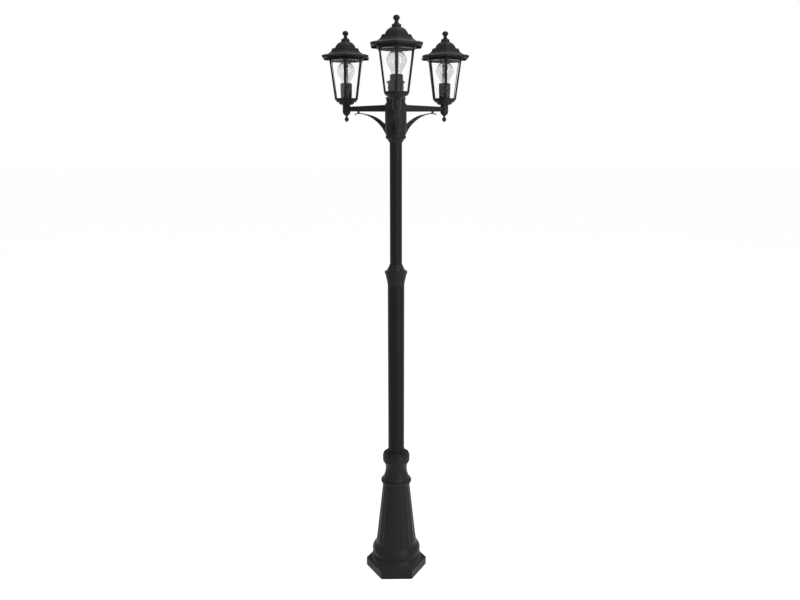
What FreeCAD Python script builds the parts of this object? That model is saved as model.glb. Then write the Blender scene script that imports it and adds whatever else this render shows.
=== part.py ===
import FreeCAD, Part

import math
import os

# Garden lamp post with three lanterns. Millimetres, +Z up.
# The origin is on the ground, on the axis of the mast. The front arm points along -Y.

# ------------------------------------------------------------- driving dimensions
HEADS = 3
FRONT = -90.0                   # direction of the first arm, degrees
REACH = 201.0                   # mast axis to lantern axis
FLAT = math.cos(math.radians(30))   # hexagon: distance to a side over distance to a corner
GAP = 0.3                       # clearance between pieces that move apart
TO_CORNER = -30.0               # turns a lantern so that a corner points away from the mast
TO_HUB = 180.0 - TO_CORNER      # way to the hub in a lantern's own frame, before that turn

# base
PLINTH_R = 116.2                # hexagon corner
PLINTH_SIDE = PLINTH_R * FLAT   # axis to a side
PLINTH_H = 34.0
CONE_FOOT = (77.2, 107.0)       # radius and height where the base's taper begins
CONE_HEAD = (50.4, 351.0)       # and where it ends
FLUTES = 18
FLUTE_R = 60.0                  # radius of a flute's hollow
FLUTE_FOOT = (146.0, 2.2)       # height and depth of a flute's lower end, before its round tip
FLUTE_HEAD = (330.0, 1.4)       # and of its upper end
PLATE_R = 88.0
PLATE_T = 5.0
ANCHOR_PCD = 140.0
ANCHOR_R = 5.5
GROMMET_R = 12.0
CABLE_R = 7.0
BASE_TOP = 472.5                # top of the double collar
SEAL_Z = 476.0                  # seat of the rain seal
SOCKET_Z = 390.0                # where the lower tube ends inside the base
LUG_ANGLES = (90.0, 210.0, 330.0)
LUG_FACE = 92.0                 # outer face of a lug, from the axis
BASE_SCREW_Z = 14.0
BASE_SCREW_R = 3.0
BASE_HEAD_R = 5.5
TUBE_SCREW_Z = 463.0
EARTH_X = 14.0
EARTH_Z = 30.0

# mast
LOWER_R = 30.0
UPPER_R = 21.5
WALL = 2.0
LOWER_TOP = 1150.0
COLLAR_Z = 1119.0
CUP_FLOOR = 1164.0              # seat of the collar's cap inside the cup
COLLAR_TOP = 1196.0
UPPER_FOOT = 975.0
UPPER_TOP = 1700.0
LOCK_Z = 1157.0
LOCK_R = 4.0
LOCK_ANGLES = (30.0, 150.0)     # away from the front

# hub
HUB_COLLAR_Z = 1619.0
HUB_Z = 1653.0
HUB_R = 37.2
HUB_FLAT = 36.0                 # flat seat of an arm
HUB_TOP = 1752.0
CHAMBER_R = 29.0
LOBES = 8
HUB_SCREW_R = 2.5
HUB_SCREW_LOW = 1650.0
HUB_SCREW_HIGH = 1757.0
HUB_SCREW_ANGLES = (-30.0, 90.0, 210.0)

# arm and scroll
ARM_Z = 1736.0                  # height of the wire channel
WIRE_R = 3.5
THREAD_R = 5.0                  # lamp tube thread
SCROLL_T = 8.0

# lantern
STEM_R = 14.0
FOOT_Z = 1768.0                 # underside of the frame
FOOT_R = 45.2
HEAD_Z = 1896.0                 # top of the ribs
HEAD_R = 63.6
FRAME_T = 3.0
RIB_STRIP = 5.6                 # width of a rib on each of its two faces
FOOT_PLATE_T = 3.5
FLANGE_R = 66.8
SEAT_Z = 1904.0                 # underside of the roof
SPIGOT_R = 58.0
SPIGOT_H = 4.0
GLASS_T = 2.5
PANE_INSET = 2.4                # side edge of a pane from the corner of the frame
ROOF_SCREW_A = 63.0             # roof screw from the lantern axis
ROOF_SCREW_R = 2.0
ROOF_HEAD_R = 3.4
ROOF_HEAD_Z = 1918.0
ROOF_SCREW_ANGLES = (60.0, 180.0, 300.0)

# lamp
HOLDER_Z = FOOT_Z + FOOT_PLATE_T
HOLDER_TOP = 1825.0
FLOOR_Z = 1787.0                # floor inside the holder
SHELL_R = 13.5                  # inside of the screw shell
CAP_TOP = 1815.0
BULB_R = 30.5
BULB_Z = 1867.0                 # centre of the bulb's ball


# ------------------------------------------------------------------- basic forms
def vec(x, y, z):
    return FreeCAD.Vector(x, y, z)


def at(point):
    """A (radius, height) point as a place in the XZ plane."""
    return vec(point[0], 0, point[1])


def outline(start, *steps):
    """Closed wire in the XZ plane. A step is the end of a straight run, or a pair (middle, end)
    of an arc."""
    edges = []
    here = start
    for step in steps + (start,):
        if isinstance(step[0], tuple):
            middle, end = step
            edges.append(Part.Arc(at(here), at(middle), at(end)).toShape())
        else:
            end = step
            edges.append(Part.makeLine(at(here), at(end)))
        here = end
    return Part.Wire(edges)


def turned(start, *steps):
    """Solid of revolution about Z."""
    face = Part.Face(outline(start, *steps))
    return face.revolve(vec(0, 0, 0), vec(0, 0, 1), 360)


def rod(radius, z0, z1, x=0.0, y=0.0):
    return Part.makeCylinder(radius, z1 - z0, vec(x, y, z0))


def tube(outer, inner, z0, z1):
    return rod(outer, z0, z1).cut(rod(inner, z0 - 1, z1 + 1))


def radial_rod(radius, a0, a1, z, angle):
    """Cylinder along a radius, from distance a0 to a1."""
    along = vec(math.cos(math.radians(angle)), math.sin(math.radians(angle)), 0)
    return Part.makeCylinder(radius, a1 - a0, along * a0 + vec(0, 0, z), along)


def hexagon(radius, z, first=30.0):
    """Closed hexagon wire; first is the direction of a corner."""
    angles = [math.radians(first + 60 * k) for k in range(6)]
    points = [vec(radius * math.cos(a), radius * math.sin(a), z) for a in angles]
    return Part.makePolygon(points + points[:1])


def hex_prism(radius, z0, z1, first=30.0):
    face = Part.Face(hexagon(radius, z0, first))
    return face.extrude(vec(0, 0, z1 - z0))


def hex_taper(radius0, z0, radius1, z1, first=30.0):
    wires = [hexagon(radius0, z0, first), hexagon(radius1, z1, first)]
    return Part.makeLoft(wires, True, True)


def around(shape, angles):
    """Copies of a shape turned about Z."""
    return [shape.rotated(vec(0, 0, 0), vec(0, 0, 1), a) for a in angles]


def joined(shapes):
    return shapes[0].multiFuse(shapes[1:]).removeSplitter()


def mitred(start, *steps):
    """Six-sided solid: a section that stands square to a side is run along that side, mitred at
    the corners, and repeated six times. Radii in the section are corner radii."""
    def to_side(step):
        if isinstance(step[0], tuple):
            return tuple(to_side(p) for p in step)
        return (step[0] * FLAT, step[1])
    face = Part.Face(outline(to_side(start), *[to_side(s) for s in steps]))
    half = 120.0
    bar = face.translated(vec(0, -half, 0)).extrude(vec(0, 2 * half, 0))
    box = bar.BoundBox
    reach = 2 * half
    spread = reach * math.tan(math.radians(30))
    corners = [vec(0, 0, box.ZMin - 1), vec(reach, -spread, box.ZMin - 1), vec(reach, spread, box.ZMin - 1)]
    wedge = Part.Face(Part.makePolygon(corners + corners[:1])).extrude(vec(0, 0, box.ZLength + 2))
    return joined(around(bar.common(wedge), range(0, 360, 60)))


def group(shapes):
    return Part.makeCompound(shapes)


# -------------------------------------------------------------------------- base
def ground_plate():
    plate = rod(PLATE_R, 0, PLATE_T).cut(rod(GROMMET_R, -1, PLATE_T + 1))
    for angle in range(30, 390, 120):
        a = math.radians(angle)
        x = ANCHOR_PCD / 2 * math.cos(a)
        y = ANCHOR_PCD / 2 * math.sin(a)
        plate = plate.cut(rod(ANCHOR_R, -1, PLATE_T + 1, x, y))
    lug = Part.makeBox(LUG_FACE - 70, 22, 22 - PLATE_T, vec(70, -11, PLATE_T))
    lug = lug.fuse(Part.makeBox(LUG_FACE - 84, 22, PLATE_T, vec(84, -11, 0)))
    lug = lug.cut(Part.makeBox(14, 24, 30, vec(68, -12, PLATE_T + 5)))
    lug = lug.cut(radial_rod(BASE_SCREW_R, 70, LUG_FACE + 1, BASE_SCREW_Z, 0))
    bracket = Part.makeBox(44, 3, 78, vec(-22, 30, PLATE_T - 1))
    bracket = bracket.fuse(Part.makeBox(44, 16, 3, vec(-22, 30, PLATE_T - 1)))
    bracket = bracket.cut(Part.makeCylinder(2.5, 5, vec(EARTH_X, 29, EARTH_Z), vec(0, 1, 0)))
    return joined([plate, bracket] + around(lug, LUG_ANGLES))


def cable_grommet():
    return turned((CABLE_R, 0.5), (GROMMET_R, 0.5), (GROMMET_R, PLATE_T), (16, PLATE_T),
                  ((16.5, 7), (14, 8.5)), (10, 16), (CABLE_R, 16))


def terminal_block():
    block = Part.makeBox(36, 16, 22, vec(-18, 14, 44))
    for x in (-12, 0, 12):
        block = block.fuse(Part.makeCylinder(5, 16, vec(x, 14, 66), vec(0, 1, 0)))
        block = block.cut(rod(2.2, 40, 80, x, 19))
        block = block.cut(Part.makeCylinder(2.5, 8, vec(x, 12, 55), vec(0, 1, 0)))
    return block.removeSplitter()


def earth_screw():
    head = Part.makeCylinder(5, 3.5, vec(EARTH_X, 30, EARTH_Z), vec(0, -1, 0))
    return head.fuse(Part.makeCylinder(2.5, 12, vec(EARTH_X, 38, EARTH_Z), vec(0, -1, 0)))


def base_outside():
    """Turned part of the casting above the plinth: two rings, taper, bead, waist and collar."""
    return [(0, PLINTH_H), (97, PLINTH_H), (97.4, 40), ((97, 49), (91, 58)), ((88.4, 60.5), (87.6, 64)),
            ((92.6, 74), (93.4, 84)), ((90, 99), CONE_FOOT), CONE_HEAD,
            ((53, 352.4), (54.6, 355)), ((57.8, 361), (55.4, 367)), (52.6, 369.5),
            ((44, 388), (40.2, 410)), ((41.6, 425), (46.6, 436)), ((50.2, 442), (50.4, 450)),
            (49.8, 451.5), (50.4, 453), ((50.6, 464), (47.5, BASE_TOP - 1)), (45.5, BASE_TOP),
            ((41.5, BASE_TOP - 1), (38, BASE_TOP)), (LOWER_R + 5.5, SEAL_Z), (0, SEAL_Z)]


def base_inside():
    """Hollow of the casting, open at the ground, with the socket of the lower tube on top."""
    cone = [(0, 18), (94, 18), (83.5, 62), (84, 84), (82, 90), (72.3, 107), (47, 341), (36, 384),
            (27, 384), (27, SOCKET_Z), (LOWER_R, SOCKET_Z), (LOWER_R, BASE_TOP + 9), (0, BASE_TOP + 9)]
    skirt = hex_prism(PLINTH_R - 5.5, -1, 19, 0.0)
    return skirt.fuse(turned(cone[0], *cone[1:]))


def flute():
    """Tool for one flute: a rod with round ends that lies along the taper on its +X side."""
    narrowing = CONE_FOOT[0] - CONE_HEAD[0]
    rise = CONE_HEAD[1] - CONE_FOOT[1]
    lean = math.atan2(narrowing, rise)

    def centre(height, depth):
        flank = CONE_FOOT[0] - narrowing * (height - CONE_FOOT[1]) / rise
        return vec(flank - depth + FLUTE_R / math.cos(lean), 0, height)
    foot = centre(*FLUTE_FOOT)
    along = centre(*FLUTE_HEAD) - foot
    length = along.Length
    slant = FLUTE_R * math.sqrt(0.5)
    tool = turned((0, -FLUTE_R), ((slant, -slant), (FLUTE_R, 0)), (FLUTE_R, length),
                       ((slant, length + slant), (0, length + FLUTE_R)))
    tool.Placement = FreeCAD.Placement(foot, FreeCAD.Rotation(vec(0, 0, 1), along))
    return tool


def base_casting():
    plinth = hex_prism(PLINTH_R, 0, PLINTH_H, 0.0)
    crown = hex_taper(PLINTH_R, PLINTH_H, 88, 58, 0.0)
    path = base_outside()
    body = joined([plinth, crown, turned(path[0], *path[1:])])
    body = body.cut(base_inside())
    pad = Part.makeBox(PLINTH_SIDE - LUG_FACE - 2, 24, 18, vec(LUG_FACE, -12, 4))
    body = joined([body] + around(pad, LUG_ANGLES))
    for angle in LUG_ANGLES:
        body = body.cut(radial_rod(BASE_SCREW_R, 60, 120, BASE_SCREW_Z, angle))
        body = body.cut(radial_rod(BASE_HEAD_R, PLINTH_SIDE - 3, 120, BASE_SCREW_Z, angle))
        body = body.cut(radial_rod(3, 20, 60, TUBE_SCREW_Z, angle + 60))
    step = 360.0 / FLUTES
    for tool in around(flute(), [FRONT + step * (k + 0.5) for k in range(FLUTES)]):
        body = body.cut(tool)
    return body


def base_screws():
    screw = radial_rod(BASE_SCREW_R, 80, PLINTH_SIDE - 2, BASE_SCREW_Z, 0)
    screw = screw.fuse(radial_rod(BASE_HEAD_R, PLINTH_SIDE - 3, PLINTH_SIDE - 0.2, BASE_SCREW_Z, 0))
    slot = Part.makeBox(3, 1.2, 12, vec(PLINTH_SIDE - 1.4, -0.6, BASE_SCREW_Z - 6))
    return group(around(screw.cut(slot), LUG_ANGLES))


def socket_screw(radius, a0, a1, z):
    """Grub screw along X with a hexagon socket in its outer end."""
    screw = radial_rod(radius, a0, a1, z, 0)
    key = hex_prism(radius * 0.6, 0, 4).rotated(vec(0, 0, 0), vec(0, 1, 0), 90)
    return screw.cut(key.translated(vec(a1 - 2.5, 0, z)))


def tube_set_screws():
    screw = socket_screw(3, LOWER_R, 49.4, TUBE_SCREW_Z)
    return group(around(screw, [angle + 60 for angle in LUG_ANGLES]))


def tube_seal_ring():
    return turned((LOWER_R, SEAL_Z), (LOWER_R + 5, SEAL_Z),
                  ((LOWER_R + 4.6, SEAL_Z + 3), (LOWER_R + 2.4, SEAL_Z + 4.5)),
                  (LOWER_R + 2, SEAL_Z + 12), (LOWER_R, SEAL_Z + 13))


# -------------------------------------------------------------------------- mast
def lower_tube():
    return tube(LOWER_R, LOWER_R - WALL, SOCKET_Z, LOWER_TOP)


def collar_cup():
    bore = LOWER_R
    neck = UPPER_R + 6.5
    cup = turned((bore, COLLAR_Z), ((30.6, 1124), (32.4, 1134)), (33.6, 1140), (34.8, 1142),
                 ((36.6, 1153), (40, 1163)), ((40.9, 1167), (39.4, 1170.5)), (37, 1172), (35, 1172.5),
                 (33, 1172.5), (33, CUP_FLOOR), (neck, CUP_FLOOR), (neck, LOWER_TOP), (bore, LOWER_TOP))
    for angle in LOCK_ANGLES:
        cup = cup.cut(radial_rod(LOCK_R, 20, 50, LOCK_Z, angle))
    return cup


def collar_cap():
    bore = UPPER_R + 0.5
    return turned((bore, CUP_FLOOR), (33, CUP_FLOOR), (33, 1173), ((31.4, 1175.4), (30.4, 1178)),
                  ((26, 1187), (23.2, COLLAR_TOP - 3)), (22.6, COLLAR_TOP), (bore, COLLAR_TOP))


def guide_bush():
    bush = tube(LOWER_R - WALL, UPPER_R + GAP, COLLAR_Z - 7, CUP_FLOOR)
    for angle in LOCK_ANGLES:
        bush = bush.cut(radial_rod(LOCK_R, 15, 50, LOCK_Z, angle))
    return bush


def height_lock_screws():
    screw = socket_screw(LOCK_R, UPPER_R + GAP + 0.2, 37, LOCK_Z)
    return group(around(screw, LOCK_ANGLES))


def upper_tube():
    return tube(UPPER_R, UPPER_R - WALL, UPPER_FOOT, UPPER_TOP)


def slide_bush():
    inner = LOWER_R - WALL - GAP
    return turned((UPPER_R - WALL, UPPER_FOOT - 4), (inner - 1, UPPER_FOOT - 4), (inner, UPPER_FOOT - 3),
                  (inner, UPPER_FOOT + 36), (UPPER_R, UPPER_FOOT + 36), (UPPER_R, UPPER_FOOT),
                  (UPPER_R - WALL, UPPER_FOOT))


# --------------------------------------------------------------------------- hub
def hub_collar():
    """Bowl of lobes under the hub: one turned form, parted by grooves that follow its flank."""
    bowl = turned((UPPER_R, HUB_COLLAR_Z), (22.4, HUB_COLLAR_Z), ((25.6, 1625), (30, 1631)),
                  ((34.9, 1636.5), (34.6, 1643)), (33.4, 1647), (36.2, 1648.5), (36.8, HUB_Z - 1),
                  (36.4, HUB_Z), (UPPER_R, HUB_Z))
    foot = vec(25.6, 0, HUB_COLLAR_Z - 2)
    head = vec(37.6, 0, 1641)
    groove = Part.makeCylinder(2.4, (head - foot).Length + 4, foot, head - foot)
    step = 360.0 / LOBES
    grooves = around(groove, [FRONT + step * (k + 0.5) for k in range(LOBES)])
    for angle in HUB_SCREW_ANGLES:
        grooves.append(radial_rod(HUB_SCREW_R, 15, 40, HUB_SCREW_LOW, angle))
    for tool in grooves:
        bowl = bowl.cut(tool)
    return bowl


def hub_casting():
    body = turned((UPPER_R, HUB_Z), (36.8, HUB_Z), (HUB_R, HUB_Z + 2), (HUB_R, 1744.5),
                  ((36.4, 1749), (32.4, HUB_TOP)), (CHAMBER_R, HUB_TOP), (CHAMBER_R, 1706),
                  (UPPER_R - 3.5, 1706), (UPPER_R - 3.5, UPPER_TOP), (UPPER_R, UPPER_TOP))
    for k in range(HEADS):
        angle = FRONT + 120 * k
        seat = Part.makeBox(10, 40, 92, vec(HUB_FLAT, -20, HUB_Z + 3))
        body = body.cut(seat.rotated(vec(0, 0, 0), vec(0, 0, 1), angle))
        body = body.cut(radial_rod(THREAD_R, 15, 50, ARM_Z, angle))
        body = body.cut(radial_rod(10, 15, 29.5, ARM_Z, angle))
    return body


def hub_cap():
    cap = turned((0, 1815), (22, 1811), (22, 1790), (27.5, 1768), (27.5, 1746), (CHAMBER_R, 1746),
                  (CHAMBER_R, HUB_TOP), (32.5, HUB_TOP), (32.5, 1763), ((34.2, 1767), (32.2, 1771)),
                  ((28, 1774), (26.6, 1780)), (26.6, 1799), ((28, 1802), (26.6, 1805)), (26.6, 1814),
                  (28.4, 1817), ((31.2, 1820), (29.4, 1823)), ((22.5, 1825), (19.5, 1830)),
                  ((11.5, 1838.4), (1, 1841)), (0, 1841))
    for angle in HUB_SCREW_ANGLES:
        cap = cap.cut(radial_rod(HUB_SCREW_R, 25, 40, HUB_SCREW_HIGH, angle))
    return cap


def hub_screws():
    low = socket_screw(HUB_SCREW_R, UPPER_R, 36, HUB_SCREW_LOW)
    high = socket_screw(HUB_SCREW_R, 27.5, 32, HUB_SCREW_HIGH)
    return group(around(low, HUB_SCREW_ANGLES) + around(high, HUB_SCREW_ANGLES))


def arm_nuts():
    nut = hex_prism(9, 0, 5).cut(rod(THREAD_R, -1, 6))
    nut = nut.rotated(vec(0, 0, 0), vec(0, 1, 0), 90).translated(vec(24.5, 0, ARM_Z))
    return group(around(nut, [FRONT + 120 * k for k in range(HEADS)]))


# --------------------------------------------------------------- arm and scroll
def arm_section(x, low, high, width):
    """Bevelled section with a narrow upright band at mid height."""
    mid = (low + high) / 2
    rise = (high - low) / 2
    half = width / 2
    corner = [(0.5, -1), (1, -0.16), (1, 0.16), (0.5, 1), (-0.5, 1), (-1, 0.16), (-1, -0.16), (-0.5, -1)]
    points = [vec(x, half * u, mid + rise * v) for u, v in corner]
    return Part.makePolygon(points + points[:1])


def arm():
    """Arm along +X from the hub's flat to the lantern's stem, with a threaded root."""
    root = arm_section(HUB_FLAT, 1724, 1747, 17)
    tip = arm_section(REACH, 1729, 1745, 12)
    body = Part.makeLoft([root, tip], True, True)
    body = body.cut(rod(STEM_R, 1700, 1760, REACH))
    body = body.fuse(radial_rod(THREAD_R, 23, HUB_FLAT + 1, ARM_Z, 0))
    return body.cut(radial_rod(WIRE_R, 20, REACH, ARM_Z, 0))


def spline(points):
    curve = Part.BSplineCurve()
    curve.interpolate([at(p) for p in points])
    return curve.toShape()


def scroll():
    """Bracket that springs from the hub's foot, thins along its sweep and ends in a curled toe."""
    lower = [(42.5, 1653), (52.8, 1669), (73, 1689), (103, 1708), (131, 1717), (150, 1719.4)]
    upper = [(147.5, 1722.6), (121, 1718.4), (90, 1711), (66, 1699.5), (48, 1687), (HUB_FLAT, 1681)]
    toe = [(158, 1719.2), (164.5, 1717), (166, 1718.4)]
    edges = [spline(lower)]
    edges.append(Part.Arc(at(lower[-1]), at(toe[0]), at(toe[1])).toShape())
    edges.append(Part.Arc(at(toe[1]), at((166.3, 1718)), at(toe[2])).toShape())
    edges.append(Part.Arc(at(toe[2]), at((159.5, 1722)), at((153.5, 1723))).toShape())
    post = [(153.5, 1723), (153.5, 1727.5), (148.5, 1727.4), (147.5, 1722.6)]
    for p, q in zip(post, post[1:]):
        edges.append(Part.makeLine(at(p), at(q)))
    edges.append(spline(upper))
    heel = [(HUB_FLAT, 1681), (HUB_FLAT, 1656), (38, 1656), (39.5, 1653), (42.5, 1653)]
    for p, q in zip(heel, heel[1:]):
        edges.append(Part.makeLine(at(p), at(q)))
    face = Part.Face(Part.Wire(edges))
    return face.translated(vec(0, -SCROLL_T / 2, 0)).extrude(vec(0, SCROLL_T, 0))


# ----------------------------------------------------------------------- lantern
# Lantern pieces are made on their own axis, with the middle of a side towards +X.
def rib_radius(z):
    """Corner radius of the tapering frame at a height."""
    return FOOT_R + (HEAD_R - FOOT_R) * (z - FOOT_Z) / (HEAD_Z - FOOT_Z)


def frustum(inset, z0, z1):
    return hex_taper(rib_radius(z0) - inset, z0, rib_radius(z1) - inset, z1)


def side_prism(inset, z0, z1, a0, a1):
    """Trapezoid as wide as a side of the frame less an inset each way, run out along +X."""
    low = rib_radius(z0) / 2 - inset
    high = rib_radius(z1) / 2 - inset
    points = [vec(a0, -low, z0), vec(a0, low, z0), vec(a0, high, z1), vec(a0, -high, z1)]
    return Part.Face(Part.makePolygon(points + points[:1])).extrude(vec(a1 - a0, 0, 0))


def lantern_bowl():
    body = turned((THREAD_R, 1717), (8, 1717), ((11.2, 1719.5), (13, 1724)), (STEM_R, 1726),
                  (STEM_R, 1750.5), (15.5, 1752.5), ((24.5, 1754), (27.8, 1759.5)), (29.2, 1760.5),
                  ((34.5, 1762), (36.8, FOOT_Z)), (THREAD_R, FOOT_Z))
    return body.cut(radial_rod(WIRE_R, 0, 30, ARM_Z, TO_HUB))


def drop_finial():
    return turned((0, 1692), (1.4, 1692.4), (2, 1694.2), ((7.4, 1700), (4.2, 1708.5)),
                  ((3.6, 1712), (6.4, 1715)), (8, 1717), (WIRE_R, 1717), (WIRE_R, 1729), (0, 1729))


def fixing_tube():
    body = tube(THREAD_R, WIRE_R, 1719, 1777)
    return body.cut(radial_rod(3, 0, 20, ARM_Z, TO_HUB))


def lantern_frame():
    """Six tapering ribs of angle section between a foot plate and a head flange."""
    top = SEAT_Z - GAP
    shell = frustum(0, FOOT_Z, HEAD_Z + 1).cut(frustum(FRAME_T / FLAT, FOOT_Z + FOOT_PLATE_T, HEAD_Z + 2))
    for window in around(side_prism(RIB_STRIP, FOOT_Z + 8, HEAD_Z, 20, 90), range(0, 360, 60)):
        shell = shell.cut(window)
    flange = hex_prism(FLANGE_R, HEAD_Z, top).cut(hex_prism(SPIGOT_R - 4, HEAD_Z - 1, top + 1))
    spigot = hex_prism(SPIGOT_R, top, top + SPIGOT_H).cut(hex_prism(SPIGOT_R - 4, top - 1, top + 9))
    lug = Part.makeBox(ROOF_SCREW_A - 50, 11, 4, vec(54, -5.5, top - 4))
    lug = lug.fuse(rod(5.5, top - 4, top, ROOF_SCREW_A))
    lug = lug.cut(rod(ROOF_SCREW_R + GAP, top - 9, top + 9, ROOF_SCREW_A))
    lug = lug.cut(Part.makeBox(20, 30, 20, vec(36.5, -15, top - 10)))
    body = joined([shell, flange, spigot] + around(lug, ROOF_SCREW_ANGLES))
    return body.cut(rod(THREAD_R, FOOT_Z - 1, FOOT_Z + 9))


def glass_panes():
    outer = FRAME_T / FLAT
    inner = outer + GLASS_T / FLAT
    z0 = FOOT_Z + FOOT_PLATE_T
    sleeve = frustum(outer, z0, HEAD_Z).cut(frustum(inner, z0 - 1, HEAD_Z + 1))
    side = side_prism(PANE_INSET, z0, HEAD_Z - 0.2, 10, 90)
    return group([sleeve.common(tool).Solids[0] for tool in around(side, range(0, 360, 60))])


def lamp_holder():
    return turned((THREAD_R, HOLDER_Z), (18, HOLDER_Z), (18.8, HOLDER_Z + 1.5), (19.4, 1796),
                  (19.9, 1797), (20.1, HOLDER_TOP - 2), (19, HOLDER_TOP), (16, HOLDER_TOP),
                  (15.4, HOLDER_TOP - 2), (15.4, FLOOR_Z), (0, FLOOR_Z), (0, 1777), (THREAD_R, 1777))


def holder_contacts():
    shell = tube(SHELL_R + 0.8, SHELL_R, FLOOR_Z, CAP_TOP - 1)
    centre = turned((0, FLOOR_Z), (4.5, FLOOR_Z), (4.5, FLOOR_Z + 1), (2.5, FLOOR_Z + 3), (0, FLOOR_Z + 3))
    return group([shell, centre])


def bulb_cap():
    side = SHELL_R - GAP
    tip = FLOOR_Z + 3 + GAP
    return turned((0, tip), (3.6, tip), (4.8, tip + 1.2), (9.6, tip + 2.4), (side, tip + 5),
                  (side, CAP_TOP), (0, CAP_TOP))


def bulb_glass():
    """Thin pear: a ball that runs down into a waisted neck."""
    def bulb_point(radius, degrees):
        a = math.radians(degrees)
        return (radius * math.cos(a), BULB_Z + radius * math.sin(a))
    inner = BULB_R - 1
    return turned((13, CAP_TOP), (13, 1820), ((17.4, 1836), bulb_point(BULB_R, -35)),
                  (bulb_point(BULB_R, 15), (0, BULB_Z + BULB_R)), (0, BULB_Z + inner),
                  (bulb_point(inner, 15), bulb_point(inner, -35)), ((16.4, 1836.4), (12, 1820)),
                  (12, CAP_TOP))


def roof():
    """Two tiers, a convex dome and a concave flare, mitred at six hips. Hollow underneath."""
    shell = mitred((0, 1963.5), (17.5, 1963.5), ((32.6, 1954.3), (41.8, 1941)), (52, 1939.4),
                   ((59, 1927.3), (80, 1918.4)), (92.6, 1914.2), (93, 1913), (89, SEAT_Z),
                   (SPIGOT_R + 1, SEAT_Z), (SPIGOT_R + 1, SEAT_Z + 2.5), (86.5, SEAT_Z + 2.5),
                   (88, 1912.5), (79.4, 1915.6), ((57, 1925), (49.6, 1936.9)), (39.3, 1938.5),
                   ((30.5, 1951.7), (14, 1960.5)), (0, 1960.5))
    shell = shell.cut(rod(3, 1955, 1970))
    hole = rod(ROOF_SCREW_R, 1890, 1940, ROOF_SCREW_A)
    hole = hole.fuse(rod(ROOF_HEAD_R, ROOF_HEAD_Z, 1940, ROOF_SCREW_A))
    for tool in around(hole, ROOF_SCREW_ANGLES):
        shell = shell.cut(tool)
    return shell


def roof_finial():
    foot = hex_prism(17, 1963.5, 1970)
    crown = hex_taper(17, 1970, 14, 1973)
    stem = turned((0, 1973), (12, 1973), ((8, 1976), (5.9, 1981)), ((6.2, 1984), (8.6, 1986.2)),
                  ((11.6, 1991.5), (7.6, 1998)), ((4, 1999.7), (0.4, 2000)), (0, 2000))
    return joined([foot, crown, stem, rod(3, 1955, 1964)])


def roof_screws():
    top = ROOF_HEAD_Z + 6
    head = turned((0, ROOF_HEAD_Z), (ROOF_HEAD_R, ROOF_HEAD_Z), (ROOF_HEAD_R, top - 1),
                  (ROOF_HEAD_R - 1, top), (0, top))
    head = head.cut(Part.makeBox(8, 1, 2, vec(-4, -0.5, top - 1.4)))
    screw = head.fuse(rod(ROOF_SCREW_R, HEAD_Z - 2, ROOF_HEAD_Z + 1)).translated(vec(ROOF_SCREW_A, 0, 0))
    return group(around(screw, ROOF_SCREW_ANGLES))


# ---------------------------------------------------------------------- assembly
def save(name, shape):
    shape.exportStep("parts/%s.step" % name)
    facts = (name, len(shape.Solids), shape.isValid(), shape.Volume / 1000)
    print("%-22s solids %2d  valid %s  %9.1f cm3" % facts)


def place_head(shape, number):
    """Move a piece from its own lantern's axis to its place on the mast."""
    turn = FRONT + 120 * (number - 1)
    shape = around(shape, [TO_CORNER])[0].translated(vec(REACH, 0, 0))
    return around(shape, [turn])[0]


def save_mast():
    for make in (ground_plate, cable_grommet, terminal_block, earth_screw, base_casting, base_screws,
                 tube_set_screws, tube_seal_ring, lower_tube, collar_cup, collar_cap, guide_bush,
                 height_lock_screws, upper_tube, slide_bush, hub_collar, hub_casting, hub_cap,
                 hub_screws, arm_nuts):
        save(make.__name__, make())


def save_arms():
    for make in (arm, scroll):
        shape = make()
        for number in range(1, HEADS + 1):
            turn = FRONT + 120 * (number - 1)
            save("%s_%d" % (make.__name__, number), shape.rotated(vec(0, 0, 0), vec(0, 0, 1), turn))


def save_lanterns():
    for make in (lantern_bowl, drop_finial, lantern_frame, glass_panes, lamp_holder, holder_contacts,
                 bulb_cap, bulb_glass, roof, roof_finial, roof_screws):
        shape = make()
        for number in range(1, HEADS + 1):
            save("%s_%d" % (make.__name__, number), place_head(shape, number))
    tubes = [place_head(fixing_tube(), number) for number in range(1, HEADS + 1)]
    save("fixing_tubes", group(tubes))


os.makedirs("parts", exist_ok=True)
save_mast()
save_arms()
save_lanterns()
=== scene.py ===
# %% [markdown]
# # A garden lamp post with three lanterns
#
# The real post is made of black powder-coated aluminium: a cast base, two drawn tubes that slide in
# each other, a cast hub with three arms, and three six-sided lanterns with clear panes and clear bulbs.
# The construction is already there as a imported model, in metres, with the ground at z = 0. This lesson
# puts finer surfaces and real finishes on it. Most pieces are turned or six-sided, so a few functions
# that carry a ring of points along an outline make nearly all of them.

import math

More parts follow.
